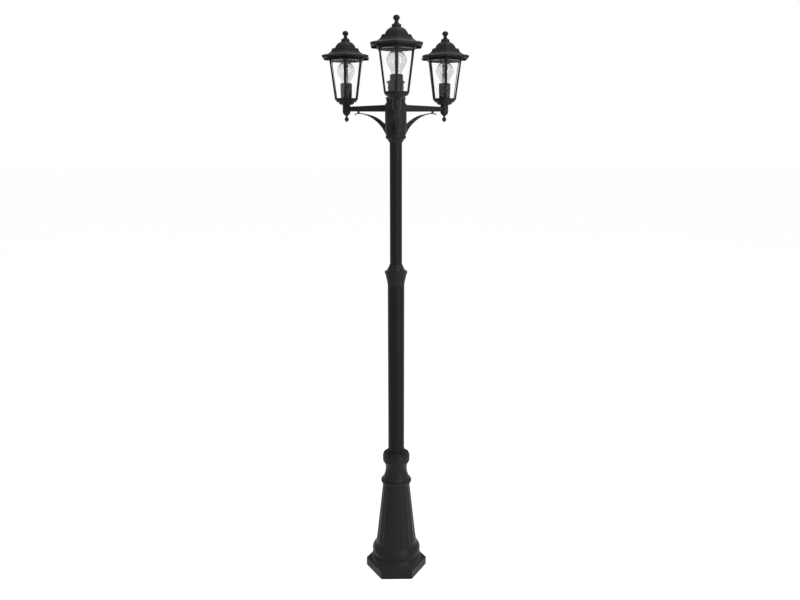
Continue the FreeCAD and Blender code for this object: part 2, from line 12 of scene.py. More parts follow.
import bmesh
import bpy
import numpy as np
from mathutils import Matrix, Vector


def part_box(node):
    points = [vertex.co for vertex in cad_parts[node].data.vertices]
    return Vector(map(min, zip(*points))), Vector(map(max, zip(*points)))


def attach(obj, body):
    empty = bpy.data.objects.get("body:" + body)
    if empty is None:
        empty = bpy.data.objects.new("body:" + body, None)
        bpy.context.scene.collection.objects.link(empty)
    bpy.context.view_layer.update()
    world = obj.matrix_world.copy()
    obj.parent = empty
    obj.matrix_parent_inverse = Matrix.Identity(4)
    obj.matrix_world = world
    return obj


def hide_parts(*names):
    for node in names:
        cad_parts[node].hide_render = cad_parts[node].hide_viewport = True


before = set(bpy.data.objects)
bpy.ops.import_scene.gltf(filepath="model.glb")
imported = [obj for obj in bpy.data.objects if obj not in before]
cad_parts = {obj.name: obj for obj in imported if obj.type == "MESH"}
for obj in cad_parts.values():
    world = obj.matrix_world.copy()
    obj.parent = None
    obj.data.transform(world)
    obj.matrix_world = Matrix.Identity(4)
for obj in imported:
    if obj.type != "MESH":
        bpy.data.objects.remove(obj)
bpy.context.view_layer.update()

# %% [markdown]
# ## Sizes
#
# The outlines below are written in millimetres, as (distance from the axis, height), because that is
# how a turner's drawing gives them. What carries a piece is read from the model: the lantern's axis is
# the middle of its bowl, and the tubes' radii are half the width of their boxes.

# %% Places taken from the model
MM = 0.001
FLAT = math.cos(math.radians(30))  # hexagon: distance to a side over distance to a corner
HEADS = (1, 2, 3)


def middle_of(node):
    """Middle of a node's box, in millimetres."""
    low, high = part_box(node)
    return (low + high) / 2 / MM


def half_width(node):
    """Half of a node's width, which is the radius of a round one."""
    low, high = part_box(node)
    return (high.x - low.x) / 2 / MM


def foot_and_top(node):
    """Lowest and highest point of a node."""
    low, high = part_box(node)
    return low.z / MM, high.z / MM


lantern_axis = {k: middle_of("drop_finial_%d" % k) for k in HEADS}
reach = math.hypot(lantern_axis[1].x, lantern_axis[1].y)
lower_radius = half_width("lower_tube")
upper_radius = half_width("upper_tube")
print("reach %.1f mm, tubes %.1f and %.1f mm in radius" % (reach, lower_radius, upper_radius))

# %% [markdown]
# ## Colours
#
# A paint card or a picture editor gives colours as sRGB hex values, but a renderer adds up light in
# linear numbers. One function turns the one into the other, so every colour here can be read as hex.


# %% From hex to linear colour
def colour(code, alpha=1.0):
    """sRGB hex to linear: c / 12.92 below 0.04045, and ((c + 0.055) / 1.055) ** 2.4 above."""
    parts = np.array([int(code[i:i + 2], 16) / 255 for i in (1, 3, 5)])
    linear = np.where(parts <= 0.04045, parts / 12.92, ((parts + 0.055) / 1.055) ** 2.4)
    return (*linear.tolist(), alpha)


print("a black coat, linear:", [round(c, 4) for c in colour("#1c1c1e")[:3]])

# %% [markdown]
# ## Node materials
#
# A finish is a small net of nodes: noise that makes the surface uneven at a real size, a mix or a range
# that turns it into a colour or a roughness, and a bump. One helper adds a node, sets its values and
# links its inputs. Values that are the same all over are set on the shader's own sockets.


# %% One helper for nodes
def add(material, kind, links=None, **settings):
    """Adds a node. A setting that is an attribute is set there, and otherwise on the input with that
    name, with _ for a space. links gives inputs by name, each with an output socket."""
    node = material.node_tree.nodes.new("ShaderNode" + kind)
    for name, value in settings.items():
        if hasattr(node, name):
            setattr(node, name, value)
        else:
            node.inputs[name.replace("_", " ")].default_value = value
    for name, output in (links or {}).items():
        material.node_tree.links.new(output, node.inputs[name])
    return node


def new_material(name):
    """An empty node material with its output node."""
    material = bpy.data.materials.new(name)
    material.use_nodes = True
    material.node_tree.nodes.clear()
    return material, material.node_tree.nodes.new("ShaderNodeOutputMaterial")


def surface(material, output, shader):
    """Connects the shader to the output."""
    material.node_tree.links.new(shader, output.inputs["Surface"])
    return material


# %% [markdown]
# ## Powder coat
#
# Powder coat is a polyester paint, sprayed on dry and baked. It is a dielectric, so it isn't metallic,
# and its IOR is near 1.5. Garden lamps get a matt black one: fine filler stands in its skin, so it
# mirrors much less than bare paint would, and the specular level is well under the usual half. As it
# melts it flows into a faint orange peel, about 1 to 2 mm from hill to hill, which spreads a highlight
# into a soft sheen. On castings the metal below is also uneven, in waves of about a centimetre. The
# peel is too fine to show from two metres, so it is drawn at 2.5 mm here.

# %% Black powder coat, on castings and on tubes
PEEL_MM, PEEL_DEPTH_MM = 2.5, 0.06
WAVE_MM = 12.0
PATCH_MM = 60.0  # patches in which the colour shifts a little
MATT = 0.10  # specular level; bare polyester would have 0.5


def powder_coat(name, dark, light, wave_depth, roughness):
    """Three noises make the coat: a fine one for the peel, one for the metal's waves, which also
    varies the gloss, and a wide one that shifts the colour."""
    material, output = new_material(name)
    place = add(material, "TexCoord").outputs["Object"]
    peel = add(material, "TexNoise", {"Vector": place}, Scale=1 / (PEEL_MM * MM), Detail=2.0)
    wave = add(material, "TexNoise", {"Vector": place}, Scale=1 / (WAVE_MM * MM), Detail=3.0)
    patch = add(material, "TexNoise", {"Vector": place}, Scale=1 / (PATCH_MM * MM), Detail=4.0)
    tint = add(material, "Mix", {"Factor": patch.outputs["Fac"]}, data_type="RGBA",
               A=colour(dark), B=colour(light))
    gloss = add(material, "MapRange", {"Value": wave.outputs["Fac"]}, From_Min=0.3, From_Max=0.7,
                To_Min=roughness - 0.04, To_Max=roughness + 0.05)
    deep = add(material, "Bump", {"Height": wave.outputs["Fac"]}, Strength=1.0,
               Distance=wave_depth * MM)
    skin_bump = add(material, "Bump", {"Height": peel.outputs["Fac"], "Normal": deep.outputs["Normal"]},
                    Strength=1.0, Distance=PEEL_DEPTH_MM * MM)
    shader = add(material, "BsdfPrincipled",
                 {"Base Color": tint.outputs["Result"], "Roughness": gloss.outputs["Result"],
                  "Normal": skin_bump.outputs["Normal"]}, IOR=1.48, Specular_IOR_Level=MATT)
    return surface(material, output, shader.outputs["BSDF"])


cast_coat = powder_coat("powder_coat_on_casting", "#252527", "#2d2d2f", 0.22, 0.42)
tube_coat = powder_coat("powder_coat_on_tube", "#1b1b1d", "#202022", 0.05, 0.44)
print("coats:", cast_coat.name, tube_coat.name)

# %% [markdown]
# ## Glass
#
# Window panes are float glass and the bulb is blown soda-lime glass, both with an IOR of 1.52. Blown
# glass is thin and wavy and carries a trace of dust, so its roughness is a few hundredths. New float
# glass is flat and clean, and its roughness is zero. White stands all round this lamp, and panes that
# mirrored all of it would veil the bulb, so the panes' specular tint is turned down. The pieces are
# real shells with two faces, which is what makes their edges dark and their middle clear.


# %% Clear glass
def clear_glass(name, tint, roughness, waviness, wave_mm, mirror=1.0):
    """One noise gives the waves and varies the dust. mirror scales how much is reflected head on."""
    material, output = new_material(name)
    place = add(material, "TexCoord").outputs["Object"]
    wave = add(material, "TexNoise", {"Vector": place}, Scale=1 / (wave_mm * MM), Detail=1.0)
    bump = add(material, "Bump", {"Height": wave.outputs["Fac"]}, Distance=waviness * MM)
    dust = add(material, "MapRange", {"Value": wave.outputs["Fac"]}, To_Min=roughness,
               To_Max=roughness * 2)
    shader = add(material, "BsdfPrincipled",
                 {"Normal": bump.outputs["Normal"], "Roughness": dust.outputs["Result"]},
                 Base_Color=colour(tint), IOR=1.52, Specular_Tint=(mirror, mirror, mirror, 1),
                 Transmission_Weight=1.0)
    return surface(material, output, shader.outputs["BSDF"])


pane_glass = clear_glass("float_glass", "#ffffff", 0.0, 0.004, 60.0, mirror=0.4)
bulb_glass = clear_glass("blown_soda_lime_glass", "#ececec", 0.02, 0.04, 14.0)
print("glass:", pane_glass.name, bulb_glass.name)

# %% [markdown]
# ## Small metal, rubber and plastic
#
# The rest is seen only in corners or with the roof lifted: zinc-plated steel nuts and plate, blackened
# screws, brass contacts, the lamp cap of nickel-plated brass, the moulded lamp holder, nylon bushes and
# rubber. They differ in metallic, roughness and the size of their grain, so one function with those
# values serves them all. A metal keeps the default IOR.


# %% Grainy finishes
def grainy(name, dark, light, metallic, roughness, grain_mm, depth_mm, stretch=(1, 1, 1), mirror=0.5):
    """Noise stretched along an axis gives brushed or drawn metal, and even noise gives a cast,
    moulded or galvanised skin. mirror is the specular level, lower on a matt plastic or rubber."""
    material, output = new_material(name)
    place = add(material, "TexCoord").outputs["Object"]
    lay = add(material, "Mapping", {"Vector": place}, Scale=stretch)
    grain = add(material, "TexNoise", {"Vector": lay.outputs["Vector"]}, Scale=1 / (grain_mm * MM),
                Detail=4.0)
    tint = add(material, "Mix", {"Factor": grain.outputs["Fac"]}, data_type="RGBA",
               A=colour(dark), B=colour(light))
    gloss = add(material, "MapRange", {"Value": grain.outputs["Fac"]}, From_Min=0.3, From_Max=0.7,
                To_Min=roughness - 0.05, To_Max=roughness + 0.08)
    bump = add(material, "Bump", {"Height": grain.outputs["Fac"]}, Distance=depth_mm * MM)
    shader = add(material, "BsdfPrincipled",
                 {"Base Color": tint.outputs["Result"], "Roughness": gloss.outputs["Result"],
                  "Normal": bump.outputs["Normal"]}, Metallic=metallic, Specular_IOR_Level=mirror)
    return surface(material, output, shader.outputs["BSDF"])


zinc_plate = grainy("zinc_plated_steel", "#a9adb0", "#c6c9cb", 1.0, 0.38, 6.0, 0.05)
black_screw = grainy("blackened_steel", "#202022", "#2e2e31", 0.7, 0.36, 1.5, 0.02)
holder_plastic = grainy("moulded_black_phenolic", "#1a1a1c", "#222224", 0.0, 0.5, 1.2, 0.03,
                        mirror=0.12)
rubber = grainy("black_rubber", "#141414", "#1d1d1d", 0.0, 0.75, 1.0, 0.05, mirror=0.15)
nylon = grainy("white_nylon", "#cfccc0", "#dedbd0", 0.0, 0.5, 3.0, 0.03)
terminal_plastic = grainy("moulded_polyamide", "#c9c6b8", "#d8d5c8", 0.0, 0.45, 1.5, 0.02)
brass = grainy("drawn_brass", "#b08d45", "#c7a45c", 1.0, 0.3, 2.0, 0.02, (1, 1, 0.1))
nickel = grainy("nickel_plated_brass", "#b9b8b2", "#cfcec8", 1.0, 0.25, 3.0, 0.02, (1, 1, 0.2))
tungsten = grainy("tungsten_wire", "#3a3838", "#565352", 1.0, 0.4, 0.5, 0.01)
print("finishes:", len(bpy.data.materials))

# %% [markdown]
# ## Outlines
#
# A turned piece is drawn as half of its section. Each step of an outline here is the end of a straight
# run, or a pair: a point that an arc passes through and the arc's end.


# %% Trace an outline
TRACE = 0.2  # spacing of the traced points, millimetres


def arc(a, b, c):
    """Points on the circle through a, b and c: its centre is as far from all three."""
    a, b, c = (np.array(p, float) for p in (a, b, c))
    centre = np.linalg.solve(2 * np.array([b - a, c - a]), [b @ b - a @ a, c @ c - a @ a])
    angles = [math.atan2(*(p - centre)[::-1]) for p in (a, b, c)]
    first, _, last = np.unwrap(angles)
    radius = np.linalg.norm(a - centre)
    count = max(2, round(radius * abs(last - first) / TRACE))
    sweep = np.linspace(first, last, count + 1)
    return centre + radius * np.stack([np.cos(sweep), np.sin(sweep)], axis=1)


def traced(start, *steps):
    """Closely spaced points along an outline."""
    runs = []
    here = start
    for step in steps:
        if isinstance(step[0], tuple):
            points = arc(here, *step)
            here = step[1]
        else:
            count = max(2, round(math.dist(here, step) / TRACE))
            points = np.linspace(here, step, count + 1)
            here = step
        runs.append(points[:-1])
    return np.concatenate(runs + [np.array([here], float)])


# %% [markdown]
# ## Rows
#
# Nothing cast is truly sharp, so the traced outline is smoothed with a small Gaussian, which rounds
# every corner by about the same amount. Then rows are taken close together where it bends and far
# apart where it runs straight, so few faces give a smooth shape.


# %% Round an outline and pick its rows
def rows(start, *steps, soft=0.5, turn=7.0, run=14.0):
    """Rounded, well spaced points of an outline. Both ends lie on the axis, or the outline is closed.
    A Gaussian of soft millimetres rounds the corners. The step from row to row is such that
    bend / turn + length / run, in degrees and millimetres, is one."""
    path = traced(start, *steps)
    closed = start == steps[-1]
    tail = int(4 * soft / TRACE)
    if closed:
        path = path[:-1]
        wide = np.concatenate([path[-tail:], path, path[:tail]])
    else:
        mirrored = path * (-1, 1)
        wide = np.concatenate([mirrored[1:tail + 1][::-1], path, mirrored[-tail - 1:-1][::-1]])
    bell = np.exp(-0.5 * (np.arange(-tail, tail + 1) * TRACE / soft) ** 2)
    bell /= bell.sum()
    smooth = np.stack([np.convolve(wide[:, i], bell, "valid") for i in (0, 1)], axis=1)
    slope = np.gradient(smooth, axis=0)
    bend = np.abs(np.gradient(np.unwrap(np.arctan2(slope[:, 1], slope[:, 0]))))
    bend = np.convolve(bend, bell, "same")
    measure = np.cumsum(np.degrees(bend) / turn + TRACE / run)
    count = max(4, math.ceil(measure[-1] - measure[0]))
    places = np.linspace(measure[0], measure[-1], count + 1)
    pick = np.interp(places, measure, np.arange(len(smooth)))
    if closed:
        pick = pick[:-1]
    smooth = np.stack([np.interp(pick, np.arange(len(smooth)), smooth[:, i]) for i in (0, 1)], axis=1)
    if not closed:
        smooth[[0, -1], 0] = 0
    x, z = smooth.T
    if np.sum(x * np.roll(z, -1) - np.roll(x, -1) * z) < 0:
        smooth = smooth[::-1]
    return smooth


ball = rows((0, -10), ((10, 0), (0, 10)))
print("rows on a ball of 20 mm:", len(ball))

# %% [markdown]
# ## Rings
#
# The ring that is carried along the rows decides what the piece is: a circle gives a turned piece, and a
# hexagon a mitred one. A hexagon's corners are arcs too. Each arc is set in from the sharp corner by
# its radius over cos 30, so the sides stay where they are, and one more point each side of an arc
# keeps the flat side's shading flat.


# %% Circle and hexagon
def turns(count):
    """Evenly spaced angles of a full turn."""
    return np.linspace(0, 2 * math.pi, count, endpoint=False)


def axes(angle):
    """The X, Y and Z directions as rows, after a turn about Z by an angle in radians."""
    c, s = math.cos(angle), math.sin(angle)
    return np.array([[c, s, 0], [-s, c, 0], [0, 0, 1]])


def spread(radii, t):
    """Point(s, t) = radius(s, t) * (cos t, sin t)."""
    return radii[:, :, None] * np.stack([np.cos(t), np.sin(t)], axis=1)


def circle(path, count=144):
    """Point(s, t) = radius(s) * (cos t, sin t)."""
    return spread(path[:, :1], turns(count))


def hexagon(path, rounding=1.0, first=30.0, arc_points=7):
    """Point(s, t) = (radius - rounding / cos 30) * corner + rounding * way(t), and beside each arc
    a point that has moved on along the side by 1.5 roundings. Near the axis the rounding is 0.3 of
    the radius at most."""
    corners = np.radians(first + 60 * np.arange(6))
    way = np.radians(np.linspace(-30, 30, arc_points))
    turn = np.concatenate([way[:1], way, way[-1:]])
    aside = np.array([-1.0] + [0.0] * arc_points + [1.0])
    toward = np.stack([np.cos(corners), np.sin(corners)], axis=1)
    angle = corners[:, None] + turn
    out = np.stack([np.cos(angle), np.sin(angle)], axis=2)
    along = np.stack([-np.sin(angle), np.cos(angle)], axis=2) * aside[:, None]
    radius = path[:, 0][:, None, None, None]
    small = np.minimum(rounding, 0.3 * radius)
    points = (radius - small / FLAT) * toward[:, None, :] + small * out + 1.5 * small * along
    return points.reshape(len(path), -1, 2)


# %% [markdown]
# ## From rings to meshes
#
# A shell is a grid of points: rows along the outline, columns round the ring. Its faces join each point
# to its neighbours, wrapping round where the grid is closed. Points that fall together on the axis are
# merged, which closes the poles. A shell's faces point outwards if the volume that they close is
# positive, and where it isn't they are turned over.


# %% Grids and shells
def shell(points, closed_rows=False):
    """Grid of points (rows, columns, 3) in millimetres, as vertices in metres and faces. The volume is
    the sum of a . (b x c) / 6 over the faces' triangles, taken from the middle of the points."""
    n, m = points.shape[:2]
    i = np.arange(n if closed_rows else n - 1)[:, None]
    j = np.arange(m)[None, :]
    i2, j2 = (i + 1) % n, (j + 1) % m
    faces = np.stack([i * m + j, i * m + j2, i2 * m + j2, i2 * m + j], axis=-1).reshape(-1, 4)
    flat = points.reshape(-1, 3)
    a, b, c, d = (flat[faces[:, corner]] - flat.mean(axis=0) for corner in range(4))
    volume = np.sum(a * np.cross(b, c) + a * np.cross(c, d)) / 6
    return flat * MM, faces if volume > 0 else faces[:, ::-1]


def skin(path, ring=circle, closed=False, **shape):
    """Carries a ring along an outline: point(s, t) = (ring(s, t), height(s))."""
    plan = ring(path, **shape)
    height = np.broadcast_to(path[:, 1][:, None, None], plan.shape[:2] + (1,))
    return shell(np.concatenate([plan, height], axis=2), closed_rows=closed)


def capped(points):
    """Closes a run of sections with its ends' middles."""
    first = np.broadcast_to(points[0].mean(axis=0), points[0].shape)[None]
    last = np.broadcast_to(points[-1].mean(axis=0), points[-1].shape)[None]
    return np.concatenate([first, points, last])


def turned(start, *steps, ring=circle, shape=None, **spacing):
    """A shell from an outline, closed if the outline is."""
    path = rows(start, *steps, **spacing)
    return skin(path, ring, closed=start == steps[-1], **(shape or {}))


print("faces on a ball:", len(skin(ball)[1]))

# %% [markdown]
# ## From shells to a piece
#
# A piece may hold several shells, as the lantern's frame does. It is one object at the origin, with
# smooth shading up to a bend of 35 degrees, and with the finish of its real part. It is told which
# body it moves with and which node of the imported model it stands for.

# %% Meshes and pieces
SMOOTH_ANGLE = math.radians(35)


def in_scene(name, data):
    """A new object with that data, linked to the scene."""
    item = bpy.data.objects.new(name, data)
    bpy.context.scene.collection.objects.link(item)
    return item


def build_mesh(name, shells):
    """One mesh from several shells, with the doubles at the poles merged."""
    starts = np.cumsum([0] + [len(points) for points, _ in shells])
    points = np.concatenate([points for points, _ in shells])
    faces = np.concatenate([faces + start for (_, faces), start in zip(shells, starts)])
    mesh = bpy.data.meshes.new(name)
    mesh.from_pydata(points.tolist(), [], faces.tolist())
    merge_doubles(mesh)
    mesh.polygons.foreach_set("use_smooth", [True] * len(mesh.polygons))
    mesh.set_sharp_from_angle(angle=SMOOTH_ANGLE)
    mesh.validate()
    return mesh


def merge_doubles(mesh):
    """Merges vertices that are less than 0.1 micrometres apart."""
    work = bmesh.new()
    work.from_mesh(mesh)
    bmesh.ops.remove_doubles(work, verts=work.verts, dist=1e-7)
    work.to_mesh(mesh)
    work.free()


def piece(name, shells, body, material, node=None, bevel=None, holes=()):
    """An object at the origin that rides on a body, and stands for a node of the model."""
    mesh = build_mesh(name, shells)
    if holes:
        mesh = drilled(mesh, holes)
    item = in_scene(name, mesh)
    item.data.materials.clear()
    item.data.materials.append(material)
    if bevel:
        edge = item.modifiers.new("edges", "BEVEL")
        edge.width = bevel * MM
        edge.segments = 3
        edge.angle_limit = math.radians(25)  # only edges sharper than this are eased
        edge.harden_normals = True
    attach(item, body)
    if node:
        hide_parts(node)
    return item


# %% [markdown]
# ## Screw holes
#
# The screws of the model sit in holes, and a skin without holes would hide them. A Boolean modifier
# takes a rod away from the mesh, and the result is read back as a plain mesh.


# %% Drilling
def radial_rod(radius, near, far, height, angle):
    """Point(s, t) = s * way + radius * (side * cos t + up * sin t) + height * up, along a radius of
    the mast."""
    t = turns(24)[:, None]
    way, side, up = axes(math.radians(angle))
    ring = radius * (side * np.cos(t) + up * np.sin(t)) + height * up
    return shell(capped(np.stack([ring + near * way, ring + far * way])))


def upright_rod(radius, away, angle, low, high):
    """Point(s, t) = radius * (cos t, sin t) + away * way, at two heights."""
    t = turns(24)
    way = axes(math.radians(angle))[0, :2]
    ring = radius * np.stack([np.cos(t), np.sin(t)], axis=1) + away * way
    ends = [np.column_stack([ring, np.full(len(t), height)]) for height in (low, high)]
    return shell(capped(np.stack(ends)))


def drilled(mesh, rods):
    """A mesh less the rods."""
    work = in_scene("work", mesh)
    tool = in_scene("drill", build_mesh("drill", rods))
    cut = work.modifiers.new("holes", "BOOLEAN")
    cut.object = tool
    cut.solver = "EXACT"
    found = bpy.data.meshes.new_from_object(work.evaluated_get(bpy.context.evaluated_depsgraph_get()))
    for item in (work, tool):
        bpy.data.objects.remove(item)
    found.set_sharp_from_angle(angle=SMOOTH_ANGLE)
    return found


# %% [markdown]
# ## The cast base
#
# The base is one hollow casting: a six-sided plinth whose crown runs up into the first ring, a second
# ring, a long fluted cone, a bead, a waisted neck and a double collar. The plinth is a hexagonal skin
# and the rest a turned one that starts inside it. The flutes are part of the ring. The pattern maker
# cuts them with a large round tool, so a flute is shallow and wide, with a crisp ridge between it and
# the next: where a point of the ring would be inside the tool, it moves in to the tool's near wall.

# %% Plinth and turned column of the base
FRONT = -90.0
FLUTES = 18
POINTS_PER_FLUTE = 14
FLUTE_R = 60.0  # radius of the round tool
cone_foot, cone_head = (77.2, 107.0), (50.4, 351.0)
flute_foot, flute_head = (146.0, 1.6), (330.0, 1.1)  # height of a flute's end, and its depth there


def from_middle(t, count):
    """Angle from the middle of a sector. The first of count sectors starts at the front."""
    step = 2 * math.pi / count
    return (t - math.radians(FRONT)) % step - step / 2


def near_wall(axis, angle, tool_squared):
    """A round tool's near wall, axis * cos(angle) - sqrt(tool ** 2 - (axis * sin(angle)) ** 2), and
    infinity where the tool doesn't reach."""
    left = tool_squared - (axis * np.sin(angle)) ** 2
    return np.where(left > 0, axis * np.cos(angle) - np.sqrt(np.maximum(left, 0)), np.inf)


def fluted(path):
    """Radius is the less of the outline's and the tool's near wall. Past a flute's ends the tool's
    round tip narrows it to sqrt(tool ** 2 - (height past the end) ** 2)."""
    t = turns(POINTS_PER_FLUTE * FLUTES)
    radius, height = path[:, :1], path[:, 1:]
    along = np.clip(height, flute_foot[0], flute_head[0])
    flank = np.interp(along, (cone_foot[1], cone_head[1]), (cone_foot[0], cone_head[0]))
    depth = np.interp(along, (flute_foot[0], flute_head[0]), (flute_foot[1], flute_head[1]))
    near = near_wall(flank - depth + FLUTE_R, from_middle(t, FLUTES),
                     FLUTE_R ** 2 - (height - along) ** 2)
    return spread(np.minimum(near, radius), t)


PLINTH_R = 116.2
PLINTH_SIDE = PLINTH_R * FLAT
PLATE_SCREWS, SET_SCREWS = (90, 210, 330), (30, 150, 270)
base_top = foot_and_top("base_casting")[1]
plinth = turned((PLINTH_R, 0), (PLINTH_R, 32), (88, 57), (86, 56), (104, 38), (104, 19), (110.7, 19),
                (110.7, 0), (PLINTH_R, 0), ring=hexagon, shape={"rounding": 2.0, "first": 0.0}, soft=0.5)
column = turned(
    (92, 29), (95, 29), (95.6, 38), ((95, 47), (89.6, 56)), ((87, 59), (86.4, 63)),
    ((90.4, 70), (91.8, 79)), ((89.2, 88), (83.6, 96)), ((79.4, 101.6), cone_foot), cone_head,
    ((53, 352.4), (54.6, 355)), ((57.8, 361), (54.6, 367.6)), (50.4, 368.8), (50.4, 371.6),
    ((44.4, 386), (40.2, 410)),
    ((41.6, 425), (46.6, 436)), ((50.2, 442), (50.4, 450)), (49.8, 451.5), (50.4, 453),
    ((50.6, 464), (48, 471.5)), (46, 472.5), ((41.5, 467.5), (37.5, 470)), (35.5, base_top),
    # the bore for the tube, and the hollow below it, back down to the plinth
    (lower_radius, base_top), (lower_radius, 390),
    (27, 390), (27, 384), (36, 384), (47, 341), (72.3, 107), (80, 90), (81, 84), (81.5, 62), (90, 29),
    (92, 29), ring=fluted, turn=9.0, run=8.0, soft=0.4)
screw_seats = [radial_rod(5.5, near=PLINTH_SIDE - 3, far=120, height=14, angle=angle)
               for angle in PLATE_SCREWS]
set_screw_holes = [radial_rod(3, near=lower_radius + 1, far=60, height=463, angle=angle)
                   for angle in SET_SCREWS]
base = piece("base_column_and_plinth", [plinth, column], "post", cast_coat, "base_casting",
             holes=screw_seats + set_screw_holes)
print("base: %d faces" % len(base.data.polygons))

# %% [markdown]
# ## Tubes, collar and ring
#
# The tubes are drawn aluminium, so they are plain, with a wall of 2 mm and ends that the saw left. The
# collar is two turned pieces: a flared cup on the lower tube and a cone that closes it. A rubber ring
# keeps rain out where the tube enters the base.

# %% Mast
WALL = 2.0
LOCK_SCREWS = (30, 150)


def tube_shell(radius, low, high):
    """The closed outline of a tube's wall, turned."""
    return turned((radius, low), (radius, high), (radius - WALL, high), (radius - WALL, low),
                  (radius, low), soft=0.25, run=60.0)


lower_ends, upper_ends = foot_and_top("lower_tube"), foot_and_top("upper_tube")
lower_shell = tube_shell(lower_radius, *lower_ends)
upper_shell = tube_shell(upper_radius, *upper_ends)
piece("lower_mast_tube", [lower_shell], "post", tube_coat, "lower_tube")
piece("upper_mast_tube", [upper_shell], "mast_head", tube_coat, "upper_tube")
cup = turned((lower_radius, 1119), ((30.6, 1124), (32.4, 1134)), (33.6, 1140), (34.8, 1142),
             ((36.6, 1153), (40, 1163)), ((40.9, 1167), (39.4, 1170.5)), (37, 1172), (35, 1172.5),
             (33, 1172.5), (33, 1164), (28, 1164), (28, 1150), (lower_radius, 1150),
             (lower_radius, 1119), soft=0.35)
cap = turned((upper_radius + 0.5, 1164), (33, 1164), (33, 1173), ((31.4, 1175.4), (30.4, 1178)),
             ((26, 1187), (23.2, 1193)), (22.6, 1196), (upper_radius + 0.5, 1196),
             (upper_radius + 0.5, 1164), soft=0.35)
piece("collar_flared_cup", [cup], "post", cast_coat, "collar_cup",
      holes=[radial_rod(4, near=26, far=50, height=1157, angle=angle) for angle in LOCK_SCREWS])
piece("collar_cone", [cap], "post", cast_coat, "collar_cap")
seal = turned((lower_radius, base_top), (lower_radius + 5, base_top),
              ((lower_radius + 4.6, base_top + 3), (lower_radius + 2.4, base_top + 4.5)),
              (lower_radius + 2, base_top + 12), (lower_radius, base_top + 13),
              (lower_radius, base_top), soft=0.3)
piece("rain_seal_ring", [seal], "post", rubber, "tube_seal_ring")
print("the upper tube stands %.0f mm deep in the lower one" % (lower_ends[1] - upper_ends[0]))

# %% [markdown]
# ## The hub
#
# A bowl of eight lobes, then a drum with three flats for the arms, then a stepped cap. The lobes come
# from grooves: a round tool of 2.4 mm radius lies along the bowl's flank, and a ring's point that would
# be inside the tool moves in to the tool's near wall. The flats come from the distance to a plane,
# which is flat distance / cos(angle), where that is less than the drum's radius.

# %% Lobed bowl, drum and cap
HUB_POINTS = 480  # points round the hub
LOBES = 8
TOOL_R = 2.4
TOOL_AXIS = (25.6, 1617.0)  # the tool's axis at one height; it leans out by half the rise
LOBES_TOP, LOBES_NECK = 1645.0, 22.2  # nothing is carved above, nor nearer to the mast
HUB_FLAT = 36.0
FLATS = (1656.0, 1748.0)  # the flats' heights
HUB_SCREWS = (-30, 90, 210)


def lobed(path):
    """Radius is the less of the outline's and the tool's near wall, but never inside the tube."""
    t = turns(HUB_POINTS)
    radius, height = path[:, :1], path[:, 1:]
    near = near_wall(TOOL_AXIS[0] + (height - TOOL_AXIS[1]) / 2, from_middle(t, LOBES), TOOL_R ** 2)
    carves = (height < LOBES_TOP) & (radius > LOBES_NECK)
    carved = np.where(carves, np.minimum(radius, near), radius)
    return spread(np.maximum(carved, np.minimum(radius, upper_radius + 0.3)), t)


def with_flats(path):
    """Radius is the less of the drum's and flat / cos(angle from the arm), at the flats' heights."""
    t = turns(HUB_POINTS)
    angle = (t - math.radians(FRONT) + math.pi / 3) % (2 * math.pi / 3) - math.pi / 3
    radius, height = path[:, :1], path[:, 1:]
    plane = HUB_FLAT / np.cos(angle)
    cut = (height > FLATS[0]) & (height < FLATS[1])
    return spread(np.where(cut, np.minimum(radius, plane), radius), t)


bowl = turned((upper_radius, 1619), (22.4, 1619), ((25.6, 1625), (30, 1631)),
              ((34.9, 1636.5), (34.6, 1643)), (33.4, 1647), (36.2, 1648.5), (36.8, 1652), (36.4, 1653),
              (upper_radius, 1653), (upper_radius, 1619), ring=lobed, soft=0.35, run=2.0)
drum = turned((upper_radius, 1653), (36.8, 1653), (37.2, 1655), (37.2, 1744.5),
              ((36.4, 1749), (32.4, 1752)), (29, 1752), (29, 1706), (18, 1706), (18, 1700),
              (upper_radius, 1700), (upper_radius, 1653), ring=with_flats, soft=0.35)
crown = turned((0, 1815), (22, 1811), (22, 1790), (27.5, 1768), (27.5, 1746), (29, 1746), (29, 1752),
               (32.5, 1752), (32.5, 1763), ((34.2, 1767), (32.2, 1771)), ((28, 1774), (26.6, 1780)),
               (26.6, 1799), ((28, 1802), (26.6, 1805)), (26.6, 1814), (28.4, 1817),
               ((31.2, 1820), (29.4, 1823)), ((22.5, 1825), (19.5, 1830)), ((11.5, 1838.4), (0, 1841)),
               soft=0.35)
piece("hub_lobed_bowl", [bowl], "mast_head", cast_coat, "hub_collar",
      holes=[radial_rod(2.5, near=upper_radius + 1, far=40, height=1650, angle=angle)
             for angle in HUB_SCREWS])
piece("hub_drum", [drum], "mast_head", cast_coat, "hub_casting")
piece("hub_stepped_cap", [crown], "mast_head", cast_coat, "hub_cap",
      holes=[radial_rod(2.5, near=25, far=40, height=1757, angle=angle) for angle in HUB_SCREWS])
print("faces of bowl, drum and cap:", [len(part[1]) for part in (bowl, drum, crown)])

# %% [markdown]
# ## Arms and scrolls
#
# An arm is a beam that tapers from the hub to the lantern, bevelled above and below so that a narrow
# upright band stays along its side. A scroll is a strap that starts thick on the hub, thins along
# its sweep and curls out at the toe. Both are sections carried along a line: the arm's section is an
# eight-cornered one, and the scroll's a rounded oblong between two curves.

# %% Tapering beams
ARM_END = 11.0  # the arm ends this far before the lantern's axis, in its stem
ARM_LOW, ARM_HIGH, ARM_WIDTH = (1724, 5), (1747, -2), (17, -5)  # at the hub, and the change from it


